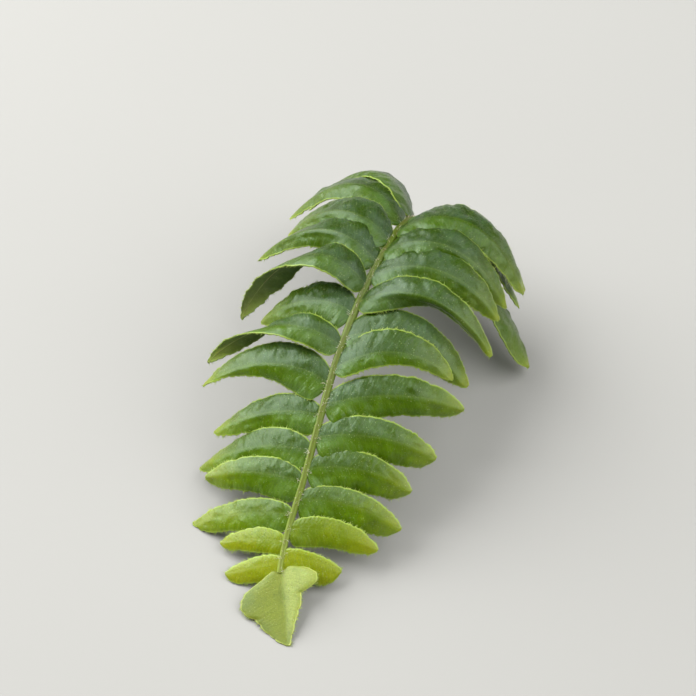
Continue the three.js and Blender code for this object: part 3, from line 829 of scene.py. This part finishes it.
def leathery(thing, mesh, finishes):
    """Gives a grown sheet its thickness, with a finish each for its upper face, underside and edge."""
    thing.data = mesh
    mesh.materials.clear()
    for finish in finishes:
        mesh.materials.append(finish)
    thickness = thing.modifiers.new("thickness", "SOLIDIFY")
    thickness.thickness = BLADE_THICKNESS
    thickness.offset = 0.0
    thickness.use_even_offset = False
    thickness.material_offset = 1
    thickness.material_offset_rim = 2
    graph = bpy.context.evaluated_depsgraph_get()
    graph.update()
    solid = bpy.data.meshes.new_from_object(thing.evaluated_get(graph), depsgraph=graph)
    thing.modifiers.remove(thickness)
    thing.data = solid


sheets = []
for thing in (left_leaflets, right_leaflets):
    sheets.append(grown(thing, leaflet_tree, finish=upper_finish, **BLADE_SHAPE))
    leathery(thing, sheets[-1].copy(), (upper_finish, under_finish, edge_finish))
    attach(thing, "root")
    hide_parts("frond")

# The terminal leaflet
# The youngest blade, at the frond's tip: pale, folded up along its midrib into a shallow trough, with a
# broad lobe on its left and a shorter blunt one on its right. It grew on from the end of the stem.
# Half widths in millimetres along the leaflet, from its base to its tip.
TERMINAL_BASE = (1.7, -46.6, 3.2)
TERMINAL_TIP = (7.9, -61.0, 0.0)
TERMINAL_BOW = 0.2
TERMINAL_TILT = 11
TERMINAL_FOLD = 16
TERMINAL_FOLD_GAIN = 60.0
TERMINAL_LOT = 3.3
TERMINAL_LEFT_HALF = 8.2
TERMINAL_RIGHT_HALF = 7
TERMINAL_LEFT = [
    (0, 0.8), (0.06, 2), (0.12, 3.2), (0.2, 4.9), (0.26, 6.4), (0.34, 7.7), (0.43, 8.2), (0.51, 8),
    (0.57, 7.2), (0.62, 5.8), (0.68, 5), (0.77, 4.1), (0.88, 2.6), (0.96, 1.2), (1, 0.3),
]
TERMINAL_RIGHT = [
    (0, 1), (0.045, 3.2), (0.09, 5.2), (0.15, 6.4), (0.21, 7), (0.27, 6.8), (0.32, 5.8), (0.36, 4.3),
    (0.39, 3.5), (0.48, 3.4), (0.6, 2.8), (0.7, 2), (0.8, 1.6), (0.9, 1), (0.97, 0.6), (1, 0.3),
]
TERMINAL_SHAPE = dict(BLADE_SHAPE, tooth_depth=0.3 * MM, pucker_height=0.2 * MM, vein_depth=0.008 * MM,
                      bulge=0.16, droop=0.05)

terminal_left = [(t, width / TERMINAL_LEFT_HALF) for t, width in TERMINAL_LEFT]
terminal_right = [(t, width / TERMINAL_RIGHT_HALF) for t, width in TERMINAL_RIGHT]
terminal_tree = blade_tree("terminal_leaflet_along_its_midrib", terminal_left, terminal_right, terminal_right,
                           TERMINAL_FOLD_GAIN)
terminal_midrib = midrib_points(
    (Vector(TERMINAL_BASE) + ORIGIN_SHIFT) * MM, (Vector(TERMINAL_TIP) + ORIGIN_SHIFT) * MM,
    Vector((0, 0, TERMINAL_BOW)) * MM)
terminal_values = {
    "side": -1, "towards_tip": (1, 0, 0), "rear": TERMINAL_LEFT_HALF * MM, "front": TERMINAL_RIGHT_HALF * MM,
    "tilt": math.radians(TERMINAL_TILT), "fold": math.radians(TERMINAL_FOLD), "twist": 0.0, "blunt": 0.0,
    "at": 0.0, "lot": TERMINAL_LOT,
}
terminal = mesh_object(
    "terminal_leaflet", terminal_midrib, [(i, i + 1) for i in range(MIDRIB_STEPS)],
    u=[i / MIDRIB_STEPS for i in range(MIDRIB_STEPS + 1)],
    **{key: [value] * (MIDRIB_STEPS + 1) for key, value in terminal_values.items()})

# The youngest blade of all, thin and pale: nearly yellow, and its right half more so with painted light
terminal_finish = leaf_finish(
    "young_fern_blade", [(0, "#818c2c"), (6, "#74811f"), (14, "#839a32"), (24, "#6b8830"), (40, "#587828"),
                         (60, "#4f7024")],
    front_lighting_tint="#a8b452", edge_colour="#c3cf70", bloom=0.5, roughness=0.45, bump=0.04 * MM, tint_from=-9)
sheets.append(grown(terminal, terminal_tree, finish=terminal_finish, **TERMINAL_SHAPE))
leathery(terminal, sheets[-1].copy(), (terminal_finish, under_finish, edge_finish))
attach(terminal, "root")
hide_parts("frond")

# The midribs and stalks
# A tough round cord under the middle of every leaflet, thinning out towards its tip. At the base it runs
# on as the leaflet's short stalk, and grows out of the side of the stem.
MIDRIB_SHAPE = {
    "stations": 60,
    "sides": 8,
    "base_radius": 0.26 * MM,
    "tip_radius": 0.05 * MM,
    "sunk": 0.15 * MM,
}
MIDRIB_CLEARANCE = 1.05

midrib_tree = new_tree("cords_under_the_midribs", finish=None, **MIDRIB_SHAPE)
midrib_size = midrib_tree.nodes["Group Input"].outputs
cords = add(midrib_tree, "GeometryNodeMeshToCurve", {"Mesh": midrib_size["Geometry"]})
cords = add(midrib_tree, "GeometryNodeCurveSplineType", {"Curve": cords}, spline_type="CATMULL_ROM")
cords = add(midrib_tree, "GeometryNodeResampleCurve", {"Curve": cords, "Count": midrib_size["stations"]})
u, side, tilt, fold, twist = [
    add(midrib_tree, CARRIED, {"Name": key}, data_type="FLOAT")
    for key in ("u", "side", "tilt", "fold", "twist")]
towards_tip = add(midrib_tree, CARRIED, {"Name": "towards_tip"}, data_type=ARROW)

# The way down from the midrib, square to the middle of the two halves of the blade
u_squared = add(midrib_tree, MATH, "MULTIPLY", u, u)
turned = add(midrib_tree, MATH, "MULTIPLY", twist, u_squared)
angle = add(midrib_tree, MATH, "MULTIPLY", fold, 0.5)
for turn in (turned, tilt):
    angle = add(midrib_tree, MATH, "SUBTRACT", angle, turn)
run = add(midrib_tree, "GeometryNodeInputTangent")
across, normal = own_directions(midrib_tree, run, towards_tip, side)
sine = add(midrib_tree, MATH, "SINE", angle)
cosine = add(midrib_tree, MATH, "COSINE", angle)
down = add(midrib_tree, VECTOR, "MULTIPLY", across, sine)
upright = add(midrib_tree, VECTOR, "MULTIPLY", normal, cosine)
down = add(midrib_tree, VECTOR, "SUBTRACT", down, upright)

# The cord hangs that way by its depth, but never into the surface
thinning = add(midrib_tree, MATH, "POWER", u, 0.6)
radius = add(midrib_tree, RANGE, thinning, 0.0, 1.0, midrib_size["base_radius"], midrib_size["tip_radius"])
cord_spot = add(midrib_tree, "GeometryNodeInputPosition")
cord_spot = add(midrib_tree, VECTOR, "MULTIPLY_ADD", down, midrib_size["sunk"], cord_spot)
cord_x, cord_y, cord_z = [add(midrib_tree, APART, cord_spot, out=axis) for axis in "XYZ"]
clear = add(midrib_tree, MATH, "MULTIPLY", radius, MIDRIB_CLEARANCE)
clear = add(midrib_tree, MATH, "MAXIMUM", cord_z, clear)
cord_spot = add(midrib_tree, TOGETHER, cord_x, cord_y, clear)
cords = add(midrib_tree, "GeometryNodeSetPosition", {"Geometry": cords, "Position": cord_spot})
ring = add(midrib_tree, "GeometryNodeCurvePrimitiveCircle", {"Resolution": midrib_size["sides"],
                                                             "Radius": 1.0})
cords = add(midrib_tree, "GeometryNodeCurveToMesh", {"Curve": cords, "Profile Curve": ring, "Scale": radius,
                                                     "Fill Caps": True})
cords = add(midrib_tree, "GeometryNodeSetShadeSmooth", {"Geometry": cords, "Shade Smooth": True})
finished(midrib_tree, cords, midrib_size["finish"])


def mottled_finish(name, first, second, patch, roughness):
    """A satin or matt skin whose colour wanders between two, in patches of the given size."""
    material, tree, shader = new_finish(name)
    spot = add(tree, "ShaderNodeTexCoord", out="Object")
    patches = add(tree, NOISE, {"Vector": spot, "Scale": 1 / patch, "Detail": 3.0})
    patches = add(tree, RANGE, patches, 0.35, 0.65, **SMOOTH)
    colour = add(tree, MIX, {"Factor": patches, "A": linear(first), "B": linear(second)}, **IN_COLOUR)
    fill(tree, shader, {"Base Color": colour, "Roughness": roughness})
    return material


# Smooth pale green cord, browner in places, which catches a thin line of light
midrib_finish = mottled_finish("fern_midrib_cord", "#93a54a", "#7d7c36", 3 * MM, 0.45)
for name, chain in zip(("left_midribs", "right_midribs"), bare_midribs):
    thing = placed(name, chain)
    thing.data = grown(thing, midrib_tree, finish=midrib_finish, **MIDRIB_SHAPE)
    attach(thing, "root")
    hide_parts("frond")

# The hairs on the blades
# Fine pale hairs, dry and slightly bent, that fringe the scalloped margins and stand here and there on
# the upper faces. Each grew out of the blade's skin.
# Lengths in metres, thickness and bend as shares of a hair's length, and no hair beyond the CAD box
LOW_CORNER = tuple(cad_box[0] + Vector((0.12, 0.12, 0.2)) * MM)
HIGH_CORNER = tuple(cad_box[1] - Vector((0.12, 0.12, 0.12)) * MM)
HAIR_LIMITS = {"low": LOW_CORNER, "high": HIGH_CORNER}
HAIR_INPUTS = dict(HAIR_LIMITS, shortest=0.0, longest=0.0, thickness=0.0, bend=0.0, seed=1)
MARGIN_HAIRS = {"share": 0.7, "shortest": 0.3 * MM, "longest": 0.75 * MM, "thickness": 0.24, "bend": 0.3}
FACE_HAIRS = {"density": 0.35e6, "shortest": 0.15 * MM, "longest": 0.4 * MM, "thickness": 0.34, "bend": 0.35}
HAIR_TIP_THICKNESS = 0.02
HAIR_MIDDLE = (0, 0, 0.55)
HAIR_HEIGHT = 0.93


def strewn(tree, points, way, chosen=True):
    """A hair on each chosen point, pointing its way, but none whose end would leave the CAD box."""
    size = tree.nodes["Group Input"].outputs
    end = add(tree, TOGETHER, {"X": size["bend"], "Z": HAIR_HEIGHT})
    line = add(tree, "GeometryNodeCurveQuadraticBezier", {"Resolution": 3, "Start": (0, 0, 0),
                                                          "Middle": HAIR_MIDDLE, "End": end})
    taper = add(tree, "GeometryNodeSplineParameter", out="Factor")
    taper = add(tree, RANGE, taper, 0.0, 1.0, size["thickness"], HAIR_TIP_THICKNESS)
    ring = add(tree, "GeometryNodeCurvePrimitiveCircle", {"Resolution": 3, "Radius": 0.5})
    hair = add(tree, "GeometryNodeCurveToMesh", {"Curve": line, "Profile Curve": ring, "Scale": taper,
                                                 "Fill Caps": True})
    hair = add(tree, "GeometryNodeSetShadeSmooth", {"Geometry": hair, "Shade Smooth": True})
    length = add(tree, "FunctionNodeRandomValue", {2: size["shortest"], 3: size["longest"],
                                                   "Seed": size["seed"]}, out=1)
    way = add(tree, VECTOR, "NORMALIZE", way)
    reach = add(tree, VECTOR, "SCALE", {0: way, "Scale": length})
    root = add(tree, "GeometryNodeInputPosition")
    end = add(tree, VECTOR, "ADD", root, reach)
    kept = add(tree, VECTOR, "MAXIMUM", end, size["low"])
    kept = add(tree, VECTOR, "MINIMUM", kept, size["high"])
    strayed = add(tree, VECTOR, "DISTANCE", kept, end, out="Value")
    inside = add(tree, MATH, "LESS_THAN", strayed, 1e-7)
    inside = add(tree, MATH, "MULTIPLY", inside, chosen)
    turn = add(tree, "FunctionNodeAlignRotationToVector", {"Vector": way}, axis="Z")
    spin = add(tree, "FunctionNodeRandomValue", (0, 0, 0), (0, 0, 2 * math.pi), data_type=ARROW)
    spin = add(tree, "FunctionNodeEulerToRotation", spin)
    turn = add(tree, "FunctionNodeRotateRotation", {"Rotation": turn, "Rotate By": spin},
               rotation_space="LOCAL")
    hairs = add(tree, "GeometryNodeInstanceOnPoints", {"Points": points, "Instance": hair, "Scale": length,
                                                       "Selection": inside, "Rotation": turn})
    finished(tree, hairs, size["finish"])


def wayward(tree, way, spread):
    """A direction thrown off by up to the spread, differently at each point."""
    stray = add(tree, "FunctionNodeRandomValue", {0: (-spread,) * 3, 1: (spread,) * 3, "Seed": 5},
                data_type=ARROW)
    return add(tree, VECTOR, "ADD", way, stray)


fringe_tree = new_tree("hairs_on_the_margins", finish=None, share=0.0, **HAIR_INPUTS)
fringe_size = fringe_tree.nodes["Group Input"].outputs
edge_way = add(fringe_tree, CARRIED, {"Name": "edge_way"}, data_type=ARROW)
run = add(fringe_tree, CARRIED, {"Name": "run"}, data_type=ARROW)
leaning = add(fringe_tree, VECTOR, "MULTIPLY_ADD", run, (0.5, 0.5, 0.5), edge_way)
far = add(fringe_tree, CARRIED, {"Name": "v"}, data_type="FLOAT")
far = add(fringe_tree, MATH, "ABSOLUTE", far)
on_edge = add(fringe_tree, MATH, "GREATER_THAN", far, 0.999)
luck = add(fringe_tree, "FunctionNodeRandomValue", {"Seed": 3}, out=1)
lucky = add(fringe_tree, MATH, "LESS_THAN", luck, fringe_size["share"])
chosen = add(fringe_tree, MATH, "MULTIPLY", on_edge, lucky)
strewn(fringe_tree, fringe_size["Geometry"], wayward(fringe_tree, leaning, 0.45), chosen)

down_tree = new_tree("hairs_on_the_faces", finish=None, density=0.0, **HAIR_INPUTS)
down_size = down_tree.nodes["Group Input"].outputs
roots = add(down_tree, "GeometryNodeDistributePointsOnFaces", {"Mesh": down_size["Geometry"],
                                                               "Density": down_size["density"], "Seed": 8})
strewn(down_tree, roots, wayward(down_tree, roots.node.outputs["Normal"], 0.8))

# Dry translucent hair, pale yellow-green: a light fringe against the deeper green
hair_finish = mottled_finish("pale_fern_hair", "#bccf70", "#99b04a", 2 * MM, 0.5)
hair_kinds = (("_margin_hairs", fringe_tree, MARGIN_HAIRS), ("_face_hairs", down_tree, FACE_HAIRS))
for name, seed, sheet in zip(("left", "right", "terminal"), (11, 12, 13), sheets):
    for kind, tree, sizes in hair_kinds:
        hairs = placed(name + kind, sheet)
        hairs.data = grown(hairs, tree, seed=seed, finish=hair_finish, **sizes, **HAIR_LIMITS)
        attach(hairs, "root")
        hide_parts("frond")

# The scales and hairs of the stem
# Narrow papery scales, off-white, in a tuft where each leaflet joins the stem, and finer hairs along the
# rest of it. They are dead dry skin, and rub off with age.
TUFT_SCALES = {"scales": 18, "spread": 0.5 * MM, "shortest": 0.25 * MM, "longest": 0.85 * MM,
               "thickness": 0.12, "bend": 0.35, "seed": 21}
STEM_HAIRS = {"density": 1.1e6, "shortest": 0.3 * MM, "longest": 0.8 * MM, "thickness": 0.18, "bend": 0.4,
              "seed": 22}

joints = []
ways = []
for rows, side in ((LEFT_LEAFLETS, -1), (RIGHT_LEAFLETS, 1)):
    for row in rows:
        base, towards_tip = stem_at(row[0] * MM)
        outward = Vector((-towards_tip.y, towards_tip.x, 0)).normalized() * side
        above = towards_tip.cross(outward) * side
        thickness = STEM_RADIUS_AT_TIP + (STEM_RADIUS_AT_CUT - STEM_RADIUS_AT_TIP) * math.sqrt(
            row[0] * MM / stem_length)
        joints.append(base + (outward * 0.85 + above * 0.5) * thickness)
        ways.append(tuple(outward * 0.7 + above * 0.6))
tufts = mesh_object("tufts_at_the_joints", joints, way=ways)

tuft_tree = new_tree("tufts_at_the_joints", finish=None, scales=1, spread=0.0, **HAIR_INPUTS)
tuft_size = tuft_tree.nodes["Group Input"].outputs
roots = add(tuft_tree, "GeometryNodeDuplicateElements", {"Geometry": tuft_size["Geometry"],
                                                         "Amount": tuft_size["scales"]}, domain="POINT")
back = add(tuft_tree, VECTOR, "MULTIPLY", tuft_size["spread"], (-1, -1, -1))
stray = add(tuft_tree, "FunctionNodeRandomValue", {0: back, 1: tuft_size["spread"], "Seed": 2},
            data_type=ARROW)
roots = add(tuft_tree, "GeometryNodeSetPosition", {"Geometry": roots, "Offset": stray})
way = add(tuft_tree, CARRIED, {"Name": "way"}, data_type=ARROW)
strewn(tuft_tree, roots, wayward(tuft_tree, way, 0.9))

# Papery dry scale, matt and off-white: the light flecks along the stem
scale_finish = mottled_finish("papery_fern_scale", "#eeedda", "#d8cdb0", 1.5 * MM, 0.7)
tufts.data = grown(tufts, tuft_tree, finish=scale_finish, **TUFT_SCALES, **HAIR_LIMITS)
stem_hairs = placed("stem_hairs", stem.data)
stem_hairs.data = grown(stem_hairs, down_tree, finish=scale_finish, **STEM_HAIRS, **HAIR_LIMITS)
for thing in (tufts, stem_hairs):
    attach(thing, "root")
    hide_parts("frond")

# The cut end of the stem
# Where the frond was picked: the pale, moist pith and its few darker bundles of fibre, inside the brown
# rind of the stem. It is the stem's own flesh, cut square.
CUT_SIZE = {"sides": 40, "rings": 8, "radius": STEM_RADIUS_AT_CUT * 0.9, "depth": 0.08 * MM,
            "dish": 0.05 * MM}
CUT_OVERLAP = 0.02 * MM
CUT_LOOK_BACK = 0.4 * MM
PITH_COLOURS = ("#d9dba4", "#b5bd78")
BUNDLE_COLOUR = "#7d5a2c"
RIND_COLOUR = "#5c4320"

cut_tree = new_tree("cut_face", finish=None, **CUT_SIZE)
cut_size = cut_tree.nodes["Group Input"].outputs
plug = add(cut_tree, "GeometryNodeMeshCone",
           {"Vertices": cut_size["sides"], "Side Segments": 1, "Fill Segments": cut_size["rings"],
            "Radius Top": 1.0, "Radius Bottom": 1.0, "Depth": cut_size["depth"]})
cut_spot = add(cut_tree, "GeometryNodeInputPosition")
plug = add(cut_tree, STORE, {"Geometry": plug, "Name": "cut", "Value": cut_spot}, data_type=ARROW)
cut_z = add(cut_tree, APART, cut_spot, out="Z")
centre_off = add(cut_tree, VECTOR, "MULTIPLY", cut_spot, (1, 1, 0))
centre_off = add(cut_tree, VECTOR, "LENGTH", centre_off, out="Value")
hollow = add(cut_tree, RANGE, centre_off, 0.0, 0.9, -1.0, 0.0, **SMOOTH)
on_face = add(cut_tree, MATH, "GREATER_THAN", cut_z, 1e-6)
for factor in (cut_size["dish"], on_face):
    hollow = add(cut_tree, MATH, "MULTIPLY", hollow, factor)
hollow = add(cut_tree, TOGETHER, {"Z": hollow})
plug = add(cut_tree, "GeometryNodeSetPosition", {"Geometry": plug, "Offset": hollow})
wide = add(cut_tree, TOGETHER, cut_size["radius"], cut_size["radius"], 1.0)
plug = add(cut_tree, "GeometryNodeTransform", {"Geometry": plug, "Scale": wide})
way = add(cut_tree, CARRIED, {"Name": "way"}, data_type=ARROW)
turn = add(cut_tree, "FunctionNodeAlignRotationToVector", {"Vector": way}, axis="Z")
plug = add(cut_tree, "GeometryNodeInstanceOnPoints", {"Points": cut_size["Geometry"], "Instance": plug,
                                                      "Rotation": turn})
finished(cut_tree, plug, cut_size["finish"])

# Moist cut pith, cream to pale green with small brown bundles in a ring: a soft gleam
pith_finish, pith_tree, pith_shader = new_finish("cut_fern_pith")
cut_spot = add(pith_tree, "ShaderNodeAttribute", out="Vector", attribute_name="cut")
flat_spot = add(pith_tree, VECTOR, "MULTIPLY", cut_spot, (1, 1, 0))
centre_off = add(pith_tree, VECTOR, "LENGTH", flat_spot, out="Value")
cells = add(pith_tree, "ShaderNodeTexVoronoi", {"Vector": flat_spot, "Scale": 9.0}, out="Distance")
bundles = add(pith_tree, "ShaderNodeTexVoronoi", {"Vector": flat_spot, "Scale": 2.4}, out="Distance")
bundles = add(pith_tree, RANGE, bundles, 0.15, 0.3, 1.0, 0.0, **SMOOTH)
rind = add(pith_tree, RANGE, centre_off, 0.72, 0.96, **SMOOTH)
pith = linear(PITH_COLOURS[0])
for cover, tint in ((cells, PITH_COLOURS[1]), (bundles, BUNDLE_COLOUR), (rind, RIND_COLOUR)):
    pith = add(pith_tree, MIX, {"Factor": cover, "A": pith, "B": linear(tint)}, **IN_COLOUR)
fibrous = add(pith_tree, "ShaderNodeBump", {"Height": cells, "Strength": 1.0, "Distance": 0.03 * MM},
              out="Normal")
fill(pith_tree, pith_shader, {"Base Color": pith, "Roughness": 0.35, "Normal": fibrous})

# The stem's last stretch as it is lifted off the surface, for the place and direction of the cut
near_end = stem_at(stem_length - CUT_LOOK_BACK)[0]
end_place = stem_at(stem_length)[0]
for spot in (near_end, end_place):
    share = max(1 - abs(spot.z - STEM_RADIUS_AT_CUT) / STEM_SETTLING, 0)
    spot.z = max(spot.z, STEM_RADIUS_AT_CUT) + share ** 3 * STEM_SETTLING / 6
end_way = (end_place - near_end).normalized()
cut_end = mesh_object("cut_end", [end_place - end_way * CUT_OVERLAP], way=[tuple(end_way)])
cut_end.data = grown(cut_end, cut_tree, finish=pith_finish, **CUT_SIZE)
cut_end.data.shade_smooth()
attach(cut_end, "root")
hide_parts("frond")
